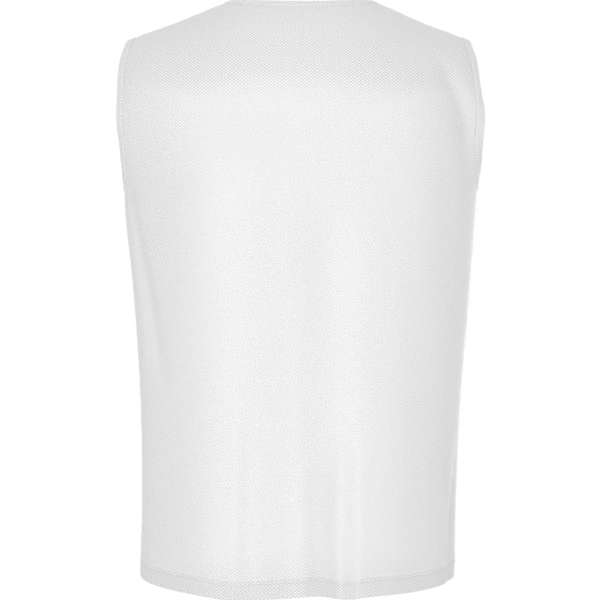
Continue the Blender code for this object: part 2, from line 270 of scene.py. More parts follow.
# How finely a panel is divided. Rows and columns crowd where a seam or a stitch line dents the cloth.
mesh = {
    "tipSteps": [0.0, 0.0003, 0.0008, 0.0016, 0.0030, 0.0050, 0.0080],
    "shoulderColumns": 28,
    "cornerSteps": [0.0, 0.0005, 0.0014, 0.0028, 0.0047, 0.0072],
    "neckColumns": 68,
    "hemRows": [0.0, 0.0012, 0.0040, 0.0090, 0.0140, 0.0168, 0.0180, 0.0192, 0.0208, 0.0220, 0.0232, 0.0240,
                0.0246, 0.0270],
    "bodyRows": 90,
    "yokeRows": 90,
    "topSteps": [0.0110, 0.0080, 0.0055, 0.0035, 0.0020, 0.0010, 0.0004, 0.0],
    "samples": 120,
    "unwrapColumns": 55,
    "unwrapRows": 75,
    "unwrapRounds": 8,
    "easeRounds": 60,
    "hemFoldSteps": 4,
    "onSeam": 0.0001,  # nearer than this counts as on the seam
}

# Walls. Depths are measured inwards from the outer surface.
cloth = {
    "wall": 0.0009,
    "hemWall": 0.0019,
    "hemDepth": 0.0225,
    "hemStep": 0.0006,
    "stitchRows": (0.0180, 0.0220),
    "stitchDip": 0.00050,
    "stitchSpread": 0.0009,
    "threadLift": 0.00010,
    "seamDip": 0.0004,
    "seamSpread": 0.0018,
    # the painted shadow along the shoulder seam's top edge: how far it reaches
    "seamShadow": 0.0016,
    # a painted shadow under the hem's sewing and a painted highlight along it: height over the edge, spread
    # and strength
    "hemLines": [(0.0166, 0.0010, 0.18), (0.0220, 0.0007, -0.35)],
    "lipOut": 0.0002,
    "lipDown": 0.0006,
    "lipDownInside": 0.00024,
}

# The uneven puckers that sewing leaves along an edge and in the hem. A ripple is two wavelengths and the
# second one's share.
puckers = {
    "gain": 1.6,
    "edgeRipple": (0.0075, 0.017, 0.6),
    "edgeRise": 0.00045,
    "edgeFade": 0.010,
    "edgeClear": 0.004,
    "hemRipple": (0.0095, 0.024, 0.7),
    "hemRise": 0.00055,
    "hemMiddle": 0.020,
    "hemSpread": 0.011,
}

# The parts of the bake's own map, each a start and a size
bakeMap = {"outer": (0.01, 0.60), "inner": (0.63, 0.36), "run": (0.005, 0.99), "tall": (0.01, 0.98)}


def columnTops():
    # the x of each column's top, from the left shoulder's tip to the right one's
    tip = cut["shoulderTip"] - np.array(mesh["tipSteps"])
    corner = cut["neckHalfWidth"] - np.array(mesh["cornerSteps"])
    shoulder = np.linspace(tip[-1], corner[0], mesh["shoulderColumns"] + 1)[1:-1]
    neck = np.linspace(corner[-1], -corner[-1], mesh["neckColumns"] + 1)[1:-1]
    half = np.concatenate([tip, shoulder, corner])
    return np.concatenate([half, neck, -half[::-1]])


def columnAcross(side, x):
    height = topHeight(side, x)
    start = armholeAngle(height)
    ratio = np.minimum(np.abs(x) / ringValue(height, "halfWidth"), 1.0)
    angle = np.arccos(ratio ** (cut["sectionPower"] / 2))
    across = (angle - start) / (np.pi - 2 * start)
    return np.where(x >= 0, across, 1 - across)


def columnHeights(side, across, x):
    # the hem, the body, then even stretches up to the top edge
    hem = hemHeight(side, across)
    hemRows = hem + np.array(mesh["hemRows"])
    body = np.linspace(hemRows[-1], cut["underarm"], mesh["bodyRows"] + 1)[1:]
    top = float(topHeight(side, x))
    bend = max(top - cut["rounding"][back], cut["underarm"])
    t = np.linspace(0, 1, mesh["samples"])
    low = cut["underarm"] + (bend - cut["underarm"]) * t[:-1] ** 2
    high = bend + (top - bend) * np.sin(np.pi / 2 * t)
    samples = np.concatenate([low, high])
    points = bodyPoint(side, across, samples)
    run = running(lengths(np.diff(points, axis=0)))
    steps = np.array(mesh["topSteps"])
    even = np.linspace(0, run[-1] - steps[0], mesh["yokeRows"] + 1)[1:]
    wanted = np.concatenate([even, run[-1] - steps[1:]])
    return np.concatenate([hemRows, body, np.interp(wanted, run, samples)])


def gridNormals(grid):
    # each point's share of the faces round it, level on the seams so that both halves agree
    faceNormals = np.cross(grid[1:, 1:] - grid[:-1, :-1], grid[:-1, 1:] - grid[1:, :-1])
    normal = np.zeros_like(grid)
    for i in (slice(1, None), slice(None, -1)):
        for j in (slice(1, None), slice(None, -1)):
            normal[i, j] += faceNormals
    if (normal * (grid * (1, 1, 0))).sum() < 0:
        normal = -normal
    normal[np.abs(grid[..., 1]) < mesh["onSeam"], 1] = 0
    return unit(normal)


def ease(grid, flat, rounds):
    # moves the flat points until the lengths between the eight neighbours match the hanging cloth's
    ends, starts, whole = slice(1, None), slice(None, -1), slice(None)
    pairs = [((starts, whole), (ends, whole)), ((whole, starts), (whole, ends)),
             ((starts, starts), (ends, ends)), ((starts, ends), (ends, starts))]
    wanted = [lengths(grid[two] - grid[one]) for one, two in pairs]
    for _ in range(rounds):
        move = np.zeros_like(flat)
        for (one, two), length in zip(pairs, wanted):
            gap = flat[two] - flat[one]
            have = lengths(gap)
            push = gap * ((have - length) / np.maximum(have, 1e-9))[..., None]
            move[one] += push
            move[two] -= push
        flat = flat + move / (2 * len(pairs) + 1)
    return flat


def newPiece(name, points, edges, faces):
    data = bpy.data.meshes.new(name)
    data.from_pydata(points, edges, faces)
    piece = bpy.data.objects.new(name, data)
    bpy.context.scene.collection.objects.link(piece)
    return piece, data


def unwrapGrid(grid):
    # Blender's own least-stretch unwrap of a grid of points, in any size and turn
    columns, rows = grid.shape[:2]
    faces = [(i * rows + j, (i + 1) * rows + j, (i + 1) * rows + j + 1, i * rows + j + 1)
             for i in range(columns - 1) for j in range(rows - 1)]
    piece, data = newPiece("unwrap", grid.reshape(-1, 3), [], faces)
    data.uv_layers.new(name="unwrap")
    bpy.ops.object.select_all(action="DESELECT")
    bpy.context.view_layer.objects.active = piece
    piece.select_set(True)
    bpy.ops.object.mode_set(mode="EDIT")
    bpy.ops.mesh.select_all(action="SELECT")
    bpy.ops.uv.unwrap(method="MINIMUM_STRETCH", fill_holes=False, margin=0.0, iterations=mesh["unwrapRounds"])
    bpy.ops.object.mode_set(mode="OBJECT")
    corners = np.empty(len(data.loops), np.int32)
    data.loops.foreach_get("vertex_index", corners)
    places = np.empty(2 * len(data.loops), np.float32)
    data.uv_layers[0].uv.foreach_get("vector", places)
    flat = np.zeros((columns * rows, 2))
    flat[corners] = places.reshape(-1, 2)
    bpy.data.objects.remove(piece)
    bpy.data.meshes.remove(data)
    return flat.reshape(columns, rows, 2)


def evenPicks(places, count):
    # the numbers of the lines that lie nearest to even steps along the cloth
    wanted = np.linspace(places[0], places[-1], count)
    return np.unique(np.abs(places[None, :] - wanted[:, None]).argmin(1))


def flatten(grid):
    # where each point of the grid lay in the flat cut, in metres: a first guess along its columns, put right
    # by the unwrap of a thinner grid
    middle = len(grid) // 2
    columnStep = np.diff(grid, axis=1)
    facing = gridNormals(grid)
    facing = unit(facing[:, 1:] + facing[:, :-1])
    level = unit(np.cross((0, 0, 1), facing))
    level *= np.sign((level * np.gradient(grid, axis=0)[:, 1:]).sum(-1))[..., None]
    uphill = np.cross(facing, level)
    uphill *= np.sign(uphill[..., 2:])
    sideways, upright = (columnStep * level).sum(-1), (columnStep * uphill).sum(-1)
    u = running(lengths(np.diff(grid[:, 0, :2], axis=0)))
    u = (u - u[middle])[:, None] + running(sideways)
    v = grid[:, :1, 2] - grid[middle, 0, 2] + running(upright)
    flat = np.stack([u, v], axis=-1)

    across = u[:, 0]
    along = running(lengths(columnStep[0]))
    columns, rows = evenPicks(across, mesh["unwrapColumns"]), evenPicks(along, mesh["unwrapRows"])
    few = grid[np.ix_(columns, rows)]
    loose = unwrapGrid(few)
    real, have = (sum(lengths(np.diff(points, axis=k)).sum() for k in (0, 1)) for points in (few, loose))
    loose = (loose * real / have).reshape(-1, 2)
    target = flat[np.ix_(columns, rows)].reshape(-1, 2)
    turn, _, turnToo = np.linalg.svd((loose - loose.mean(0)).T @ (target - target.mean(0)))
    shift = (loose - loose.mean(0)) @ turn @ turnToo + target.mean(0) - target
    shift = shift.reshape(len(columns), len(rows), 2)
    for k in (0, 1):
        tall = np.array([np.interp(along, along[rows], line) for line in shift[..., k]])
        flat[..., k] += np.array([np.interp(across, across[columns], line) for line in tall.T]).T
    return ease(grid, flat, mesh["easeRounds"])


def panelGrid(side):
    tops = columnTops()
    places = columnAcross(side, tops)
    places[0], places[-1] = 0, 1  # the end columns run along the side seams
    return np.array([bodyPoint(side, across, columnHeights(side, across, x))
                     for across, x in zip(places, tops)])


def edgeWaves(place, seed, wavelength):
    points = [Vector((p / wavelength, seed, 0.5 * seed)) for p in place]
    return np.array([noise.noise(point) * puckers["gain"] for point in points])


def ripples(place, seed, secondSeed, kind):
    # uneven waves along an edge
    first, second, share = puckers[kind]
    return edgeWaves(place, seed, first) + share * edgeWaves(place, secondSeed, second)


def seamDetail(flat, fromHem):
    # how far the sewing pulls the cloth in or puffs it out
    dent = np.zeros(flat.shape[:2])
    for edge, seed in ((flat[:1], 3.0), (flat[-1:], 7.0), (flat[:, -1:], 11.0)):
        axis = 1 if edge.shape[0] == 1 else 0
        away = lengths(flat - edge)
        run = running(lengths(np.diff(edge, axis=axis)).ravel())
        ripple = np.expand_dims(ripples(run, seed, seed + 1, "edgeRipple"), 1 - axis)
        fade = np.exp(-away / puckers["edgeFade"]) * (1 - bell(away / puckers["edgeClear"]))
        dent += puckers["edgeRise"] * ripple * fade - cloth["seamDip"] * bell(away / cloth["seamSpread"])
    for row in cloth["stitchRows"]:
        dent -= cloth["stitchDip"] * bell((fromHem - row) / cloth["stitchSpread"])
    ripple = ripples(flat[:, 0, 0], 21.0, 23.0, "hemRipple")[:, None]
    fade = bell((fromHem - puckers["hemMiddle"]) / puckers["hemSpread"])
    return dent + puckers["hemRise"] * ripple * fade


def addMesh(name, points, faces, material, attributes=None, maps=None):
    piece, data = newPiece(name, points, [], faces)
    data.shade_smooth()
    for key, values in (attributes or {}).items():
        layer = data.attributes.new(key, "FLOAT", "POINT")
        layer.data.foreach_set("value", np.asarray(values, np.float32))
    corners = np.empty(len(data.loops), np.int32)
    data.loops.foreach_get("vertex_index", corners)
    for key, values in (maps or {}).items():
        layer = data.uv_layers.new(name=key)
        layer.uv.foreach_set("vector", np.asarray(values, np.float32)[corners].ravel())
    data.materials.append(material)
    return piece


# How far the knit is pulled open. It is widest over the shoulders, at the sides and at the hem, and closes
# where a seam allowance lies behind it. The open knit is painted darker and with stronger dots. This is
# partly painted shade, standing in for the shade and grazing light where the cloth turns away from the light.
# Each pair is where that starts and where it is full.
openness = {
    "hanging": 0.26,
    "yoke": (-0.128, -0.084),
    "yokeMiddle": 0.80,
    "yokeDip": 0.008,
    "outwards": (0.020, 0.130),
    "sides": (0.090, 0.170),
    "hem": (0.060, 0.010),
    "edgeShare": 0.65,
    "allowance": 0.0075,
    "allowanceEdge": 0.0008,
    "behindSeam": 0.05,
}


def fromShoulder(grid, flat):
    # how far each point lies from the top edge, and which columns end in the shoulder seam
    seamed = np.abs(grid[:, -1, 0]) > cut["neckHalfWidth"] - mesh["onSeam"]
    return lengths(flat - flat[:, -1:]), seamed[:, None]


# painted shade: a painted shadow along the shoulder seam's top edge, and along the hem a painted shadow under
# the lower row of sewing and a painted highlight at the upper one
def seamShadow(grid, flat, fromHem):
    fromTop, seamed = fromShoulder(grid, flat)
    shadow = bell(fromTop / cloth["seamShadow"]) * seamed
    for height, spread, share in cloth["hemLines"]:
        shadow = shadow + share * bell((fromHem - height) / spread)
    return shadow


def knitOpeningAndShade(side, grid, flat, fromHem):
    fromMiddle = np.abs(grid[..., 0])
    outwards = ramp(fromMiddle, *openness["outwards"])
    yoke = ramp(grid[..., 2] + openness["yokeDip"] * outwards, *openness["yoke"])
    yoke = yoke * (openness["yokeMiddle"] + (1 - openness["yokeMiddle"]) * outwards)
    sides = ramp(fromMiddle, *openness["sides"])
    hem = ramp(fromHem, *openness["hem"])
    pulled = np.maximum(yoke, openness["edgeShare"] * np.maximum(sides, hem))
    value = openness["hanging"] + (1 - openness["hanging"]) * pulled
    if side == back:
        fromTop, seamed = fromShoulder(grid, flat)
        covered = smoothStep((openness["allowance"] - fromTop) / openness["allowanceEdge"] + 0.5) * seamed
        value = value + (openness["behindSeam"] - value) * covered
    return value


def lipped(surface, normals, down):
    # the lips turn in at the seams: one more column at each side, one more row at the top
    def lip(edge, behind, normal):
        return edge + cloth["lipOut"] * unit(edge - behind) - normal * down

    left = lip(surface[:1], surface[1], normals[0])
    right = lip(surface[-1:], surface[-2], normals[-1])
    wide = np.concatenate([left, surface, right])
    wideNormals = np.pad(normals, ((1, 1), (0, 0), (0, 0)), mode="edge")
    top = lip(wide[:, -1:], wide[:, -3:-2], wideNormals[:, -1:])
    return np.concatenate([wide, top], axis=1)


def bakePlace(key, share):
    start, size = bakeMap[key]
    return start + size * share


def tubeFaces(columns, girth, closed=False):
    # the faces between closed loops of points that stand side by side
    faces = []
    for i in range(columns if closed else columns - 1):
        j = (i + 1) % columns
        for k in range(girth):
            m = (k + 1) % girth
            faces.append((i * girth + k, j * girth + k, j * girth + m, i * girth + m))
    return faces


def makePanel(name, side, material):
    grid = panelGrid(side)
    normals = gridNormals(grid)
    flat = flatten(grid)
    grid = grid + np.array([0, side * cut["seamGap"] / 2, 0])
    fromHem = grid[..., 2] - grid[:, :1, 2]
    outer = grid + normals * seamDetail(flat, fromHem)[..., None]
    doubled = smoothStep((cloth["hemDepth"] - fromHem) / cloth["hemStep"] + 0.5)
    openedAndShaded = knitOpeningAndShade(side, grid, flat, fromHem)
    wall = cloth["wall"] + (cloth["hemWall"] - cloth["wall"]) * doubled
    inner = outer - normals * wall[..., None]
    outerLip = lipped(outer, normals, cloth["lipDown"])
    innerLip = lipped(inner, normals, cloth["lipDownInside"])
    flatLip = lipped(np.pad(flat, ((0, 0), (0, 0), (0, 1))), normals, 0.0)[..., :2]
    shadow = seamShadow(grid, flat, fromHem)
    coverLip = np.pad(np.stack([doubled, openedAndShaded, shadow], -1), ((1, 1), (0, 1), (0, 0)), mode="edge")
    wideColumns, tallRows = outerLip.shape[:2]

    # the fold at the bottom of the hem, half a turn from the outer to the inner face
    turns = mesh["hemFoldSteps"]
    angles = math.pi * np.arange(1, turns)[:, None] / turns
    middle, half = (outerLip[:, :1] + innerLip[:, :1]) / 2, (outerLip[:, :1] - innerLip[:, :1]) / 2
    fold = middle + half * np.cos(angles) - np.array([0, 0, 1]) * lengths(half)[..., None] * np.sin(angles)
    # each column is a closed loop: down the outer face, round the fold, up the inner face
    loop = np.concatenate([outerLip[:, ::-1], fold, innerLip], axis=1)
    order = list(range(tallRows - 1, -1, -1)) + [0] * (turns - 1) + list(range(tallRows))
    flatLoop = flatLip[:, order]
    cover = dict(zip(("doubled", "openness", "seam"), coverLip[:, order].reshape(-1, 3).T))
    girth = loop.shape[1]
    faces = tubeFaces(wideColumns, girth)
    last = (wideColumns - 1) * girth
    for j in range(girth // 2):  # the seam edges, outer face to inner face
        k = girth - 1 - j
        if j + 1 < k:
            corners = list(dict.fromkeys((j, j + 1, k - 1, k)))  # only three where the fold closes
            faces.append(tuple(corners))
            faces.append(tuple(last + corner for corner in reversed(corners)))
    if side == front:
        faces = [face[::-1] for face in faces]

    # the bake's own map, with the inner face beside the outer one
    low = flat.min((0, 1))
    size = flat.max((0, 1)) - low
    share = (flatLoop - low) / size
    isInner = np.arange(girth) >= tallRows + turns // 2
    across = np.where(isInner, bakePlace("inner", share[..., 0]), bakePlace("outer", share[..., 0]))
    bake = np.stack([across, bakePlace("tall", share[..., 1])], axis=-1)
    piece = addMesh(name, loop.reshape(-1, 3), faces, material, cover,
                    {"flatCut": flatLoop.reshape(-1, 2), "OFBake": bake.reshape(-1, 2)})
    x, y = np.concatenate([flat[:, 0], flat[-1], flat[::-1, -1], flat[0, ::-1]]).T
    area = abs(0.5 * float((x * np.roll(y, -1) - y * np.roll(x, -1)).sum()))
    print(f"{name}: flat cut {size[0]:.3f} x {size[1]:.3f} m, {area:.4f} square metres")
    return piece, {"grid": grid, "normals": normals, "flat": flat, "outer": outer, "inner": inner,
                   "size": tuple(size), "area": area}


# Folded strips round the neck and the armholes
binding = {
    "neckWidth": 0.010,
    "armWidth": 0.011,
    "stitchRung": 5,  # the stitches lie between this point of the section and the next, this share of the way
    "stitchShare": 0.25,
    "wander": 0.0005,
    "wanderTurns": 3.0,
    "puff": 0.00022,
    "puffLength": 0.05,
    "puffInside": -0.5,
    "closing": 0.001,
    # across the strip: reach from the seam as a share of its width, plus metres, and lift off the cloth
    "section": [
        (0.0, -0.0004, -0.0010),
        (0.0, 0.0001, 0.0002),
        (0.0, 0.0008, 0.0007),
        (0.0, 0.0022, 0.0007),
        (0.5, 0.0, 0.0006),
        (1.0, -0.0024, 0.0006),
        (1.0, -0.0008, 0.0003),
        (1.0, 0.0, -0.0004),
        (1.0, -0.0008, -0.0011),
        (1.0, -0.0024, -0.0014),
        (0.5, 0.0, -0.0015),
        (0.0, 0.0022, -0.0015),
        (0.0, 0.0006, -0.0014),
    ],
}


def joinLoop(backEdge, frontEdge):
    # one closed loop from a back and a front edge that meet at both ends
    ends = [(backEdge[k] + frontEdge[k]) / 2 for k in (0, -1)]
    return np.concatenate([ends[0][None], backEdge[1:-1], ends[1][None], frontEdge[-2:0:-1]])


def roundNoise(turn, radius, seed):
    # noise round a closed loop, without a break where it closes
    return np.array([noise.noise(Vector((math.cos(a) * radius, math.sin(a) * radius, seed))) for a in turn])


def makeBinding(name, edge, normals, inside, width, material, seed, mirrored):
    along = np.roll(edge, -1, axis=0) - np.roll(edge, 1, axis=0)
    across = unit(np.cross(along, normals))
    if ((edge - inside) * across).sum() < 0:
        across = -across
    place = running(lengths(np.roll(edge, -1, axis=0) - edge))
    total = place[-1]
    turn = place[:-1] / total * 2 * math.pi
    ripple = roundNoise(turn, total / binding["puffLength"], seed)
    wander = roundNoise(turn, binding["wanderTurns"], seed + 5) * binding["wander"]
    points = []
    runs = np.cumsum([0] + [math.hypot((b[0] - a[0]) * width + b[1] - a[1], b[2] - a[2])
                            for a, b in zip(binding["section"], binding["section"][1:])])
    for share, extra, lift in binding["section"]:
        reach = width * share + extra + share * wander
        puff = lift + binding["puff"] * ripple * (1 if lift > 0 else binding["puffInside"])
        points.append(edge + across * reach[:, None] + normals * puff[:, None])
    points = np.array(points).transpose(1, 0, 2)
    count, size = points.shape[:2]
    faces = tubeFaces(count, size, closed=True)
    a, b, c, d = points.reshape(-1, 3)[np.array(faces)].transpose(1, 0, 2)
    volume = (a * np.cross(b, c)).sum() + (a * np.cross(c, d)).sum()
    if volume < 0:
        faces = [face[::-1] for face in faces]
    piece = addMesh(name, points.reshape(-1, 3), faces, material)
    # along the strip and across it, in metres; a strip cut in two mirrored halves is measured from the middle
    # of its back
    middle = place[len(edge) // 4] if mirrored else 0.0
    layer = piece.data.uv_layers.new(name="strip")
    bake = piece.data.uv_layers.new(name="OFBake")
    girth = runs[-1] + binding["closing"]
    for face in piece.data.polygons:
        station, rung = zip(*(divmod(v, size) for v in face.vertices))
        wraps = max(station) - min(station) > 1
        wrapsRound = max(rung) - min(rung) > 1
        for loopIndex, s, r in zip(face.loop_indices, station, rung):
            p = total if wraps and s == 0 else place[s]
            q = girth if wrapsRound and r == 0 else runs[r]
            run = abs(p - middle)
            layer.uv[loopIndex].vector = (min(run, total - run) if mirrored else p, q)
            bake.uv[loopIndex].vector = (bakePlace("run", p / total), bakePlace("tall", q / girth))
    rung, share = binding["stitchRung"], binding["stitchShare"]
    return piece, points[:, rung] * (1 - share) + points[:, rung + 1] * share, normals


# Shader and geometry trees, written as expressions

class Wire:
    def __init__(self, tree, socket):
        self.tree = tree
        self.socket = socket

    def __add__(self, other): return self.tree.calc("ADD", self, other)
    def __radd__(self, other): return self.tree.calc("ADD", other, self)
    def __sub__(self, other): return self.tree.calc("SUBTRACT", self, other)
    def __rsub__(self, other): return self.tree.calc("SUBTRACT", other, self)
    def __mul__(self, other): return self.tree.calc("MULTIPLY", self, other)
    def __rmul__(self, other): return self.tree.calc("MULTIPLY", other, self)


class Tree:
    def __init__(self, tree):
        self.tree = tree

    def add(self, kind, settings=None, inputs=None, out=0):
        node = self.tree.nodes.new(kind)
        for name, value in (settings or {}).items():
            setattr(node, name, value)
        for name, value in (inputs or {}).items():
            socket = node.inputs[name]
            if isinstance(value, Wire):
                self.tree.links.new(value.socket, socket)
            else:
                socket.default_value = value
        return Wire(self, node.outputs[out]) if node.outputs else None

    def calc(self, operation, *values):
        return self.add("ShaderNodeMath", {"operation": operation}, dict(enumerate(values)))

    def smooth(self, value, low, high):
        return self.add("ShaderNodeMapRange", {"interpolation_type": "SMOOTHSTEP"},
                        {"Value": value, "From Min": low, "From Max": high})

    def mixColour(self, share, one, two):
        return self.add("ShaderNodeMix", {"data_type": "RGBA"}, {0: share, 6: one, 7: two}, out=2)

    def noise(self, vector, scale, detail=2.0):
        return self.add("ShaderNodeTexNoise", None, {"Vector": vector, "Scale": scale, "Detail": detail})


def newMaterial(name):
    material = bpy.data.materials.new(name)
    material.use_nodes = True
    material.node_tree.nodes.clear()
    return material, Tree(material.node_tree)


def finishMaterial(tree, inputs):
    shader = tree.add("ShaderNodeBsdfPrincipled", None, inputs)
    tree.add("ShaderNodeOutputMaterial", None, {"Surface": shader})


# The mesh knit: columns of small raised loops, each column half a step from the next, with a hole between
knit = {
    "columnGap": 0.00227,
    "pitch": 0.00352,
    "holeEdge": (-0.3, -0.95),
    "loopEdge": (-0.25, 0.95),
    "white": (0.96, 0.96, 0.96, 1.0),
    "shade": (0.40, 0.40, 0.40, 1.0),
    "closedShade": 0.245,
    "groundShade": 0.565,
    "holeShade": 0.05,
    # painted shade: the doubled hem is painted darker, as less light comes through two layers of cloth
    "doubledPaintedShade": 0.04,
    "underShade": 0.16,
    "underShift": 0.0011,
    "underPitch": 1.04,
    "paintedShadeAndHighlight": 0.35,
    "unevenClosed": 0.12,
    "unevenOpen": 0.10,
    "unevenScale": 420.0,
    "loopRise": 0.00015,
    "holeDepth": 0.00005,
    "ribGap": 0.00057,
    "ribRise": 0.00001,
    "finish": {"Roughness": 0.45, "Sheen Weight": 0.1, "Sheen Roughness": 0.5, "Specular IOR Level": 0.4},
}


def knitPattern(tree, u, v):
    wave = (tree.calc("COSINE", u * (math.pi / knit["columnGap"]))
            * tree.calc("COSINE", v * (2 * math.pi / knit["pitch"])))
    return tree.smooth(wave, *knit["holeEdge"]), tree.smooth(wave, *knit["loopEdge"])


def yarnShader(tree, body, height, finish):
    bump = tree.add("ShaderNodeBump", None, {"Strength": 1.0, "Distance": 1.0, "Height": height})
    finishMaterial(tree, {"Base Color": body, "Normal": bump, **finish})


def mapPlace(tree, name):
    place = tree.add("ShaderNodeUVMap", {"uv_map": name})
    split = tree.add("ShaderNodeSeparateXYZ", None, {"Vector": place})
    return place, split, Wire(tree, split.socket.node.outputs[1])


def meshCloth():
    material, tree = newMaterial("mesh_cloth")
    place, u, v = mapPlace(tree, "flatCut")
    doubled, openedAndShaded, seam = (tree.add("ShaderNodeAttribute", {"attribute_name": name}, out=2)
                             for name in ("doubled", "openness", "seam"))
    hole, loop = knitPattern(tree, u, v)
    under, _ = knitPattern(tree, u + knit["underShift"], v * knit["underPitch"])
    yarn = tree.noise(place, knit["unevenScale"], 3.0) - 0.5
    # the open knit's darker tone and stronger dots: partly the knit pulled open, partly painted shade where
    # the cloth turns away from the light
    shade = openedAndShaded * (hole * knit["holeShade"] + (1.0 - loop) * knit["groundShade"])
    shade = shade + (1.0 - openedAndShaded) * knit["closedShade"]
    shade = shade + yarn * (knit["unevenClosed"] + openedAndShaded * knit["unevenOpen"])
    # the doubled hem is painted darker where less light comes through two layers, and the lower layer's knit
    # shows through the holes; the seam attribute paints a shadow along the shoulder seam, and a painted
    # shadow and a painted highlight along the hem's sewing
    shade = shade + doubled * (knit["doubledPaintedShade"] + knit["underShade"] * under) + seam * knit["paintedShadeAndHighlight"]
    body = tree.mixColour(shade, knit["white"], knit["shade"])
    rib = tree.calc("SINE", u * (2 * math.pi / knit["ribGap"]))
    height = loop * knit["loopRise"] - hole * knit["holeDepth"] + rib * knit["ribRise"]
    yarnShader(tree, body, height, knit["finish"])
    return material


# The bindings: the same yarn in a closer knit, cut on the slant
strip = {
    "wale": 0.0024,
    "course": 0.0019,
    "slantAlong": 0.72,
    "slantAcross": 0.69,
    "waleEdge": 0.7,
    "courseEdge": 0.8,
    "courseShare": 0.35,
    "groundShade": 0.62,
    "patchShade": 0.06,
    "patchScale": 90.0,
    "rise": 0.00012,
}


def stripCloth():
    material, tree = newMaterial("binding_cloth")
    place, u, v = mapPlace(tree, "strip")
    slantwise = (u * strip["slantAlong"] + v * strip["slantAcross"]) * (2 * math.pi / strip["wale"])
    lengthwise = (v * strip["slantAlong"] - u * strip["slantAcross"]) * (2 * math.pi / strip["course"])
    wale = tree.smooth(tree.calc("COSINE", slantwise), -strip["waleEdge"], strip["waleEdge"])
    course = tree.smooth(tree.calc("COSINE", lengthwise), -strip["courseEdge"], strip["courseEdge"])
    loop = wale * (1.0 - strip["courseShare"] * (1.0 - course))
    patches = tree.noise(place, strip["patchScale"])
    shade = (1.0 - loop) * strip["groundShade"] + patches * strip["patchShade"]
    body = tree.mixColour(shade, knit["white"], knit["shade"])
    yarnShader(tree, body, loop * strip["rise"], knit["finish"])
    return material


# Sewing thread, white, with the shine of a twisted polyester
thread = {
    "white": (0.97, 0.97, 0.97, 1.0),
    "grey": (0.78, 0.78, 0.78, 1.0),
    "fluffScale": 900.0,
    "fluffShare": 0.5,
    "plyGap": 0.0004,
    "bandRepeat": 0.31416,  # at a scale of 1
    "twist": 1.5,
    "plyShare": 0.3,
    "rise": 0.00003,
    "finish": {"Roughness": 0.38, "Specular IOR Level": 0.45},
}


def threadFinish():
    material, tree = newMaterial("sewing_thread")
    place = tree.add("ShaderNodeTexCoord", out=3)
    fluff = tree.noise(place, thread["fluffScale"], 3.0)
    bands = {"Vector": place, "Scale": thread["bandRepeat"] / thread["plyGap"], "Distortion": thread["twist"],
             "Detail": 1.0}
    ply = tree.add("ShaderNodeTexWave", {"wave_type": "BANDS", "bands_direction": "DIAGONAL"}, bands, out=1)
    shade = fluff * thread["fluffShare"] + ply * thread["plyShare"]
    body = tree.mixColour(shade, thread["white"], thread["grey"])
    yarnShader(tree, body, ply * thread["rise"], thread["finish"])
    return material


meshMaterial = meshCloth()
stripMaterial = stripCloth()
threadMaterial = threadFinish()
print("materials ready")

backPanel, backCut = makePanel("back_cloth", back, meshMaterial)
frontPanel, frontCut = makePanel("front_cloth", front, meshMaterial)

# the columns that end in the neckline, and the rows that end in an armhole
firstNeck = len(mesh["tipSteps"]) + mesh["shoulderColumns"] - 1
neckSlice = slice(firstNeck, firstNeck + mesh["neckColumns"] - 1 + 2 * len(mesh["cornerSteps"]))
armSlice = slice(len(mesh["hemRows"]) + mesh["bodyRows"] - 1, None)


def edgeLoop(key, columns, rows):
    return joinLoop(backCut[key][columns, rows], frontCut[key][columns, rows])


def bindingFor(name, edge, inside, width, seed):
    # edge and inside are the columns and rows of the cloth's edge and of a line further in
    mirrored = edge[0] == neckSlice
    return makeBinding(name, edgeLoop("grid", *edge), unit(edgeLoop("normals", *edge)),
                       edgeLoop("grid", *inside), width, stripMaterial, seed, mirrored)


neckBinding, neckSewn, neckOut = bindingFor(
    "neck_strip", (neckSlice, -1), (neckSlice, -4), binding["neckWidth"], 2.0)
leftBinding, leftSewn, leftOut = bindingFor(
    "armhole_strip_left", (0, armSlice), (4, armSlice), binding["armWidth"], 4.0)
rightBinding, rightSewn, rightOut = bindingFor(
    "armhole_strip_right", (-1, armSlice), (-5, armSlice), binding["armWidth"], 6.0)
print("bindings ready")


# Sewing. The sizes of each kind of stitch, in metres and radians
stitchSizes = ("Spacing", "Length", "Thread", "Rise", "Turn", "Unevenness")
stitches = {
    "hem": (0.0029, 0.0029, 0.00055, 0.00045, 0.05, 0.10),
    "edge": (0.0027, 0.0022, 0.00038, 0.00034, 0.06, 0.12),
    "under": (0.0029, 0.0050, 0.00036, 0.00030, 0.95, 0.05),
    "overlock": (0.0017, 0.0050, 0.00034, 0.00022, 1.30, 0.08),
}
stitchShape = {"steps": 4, "sides": 5, "crown": 1.6}


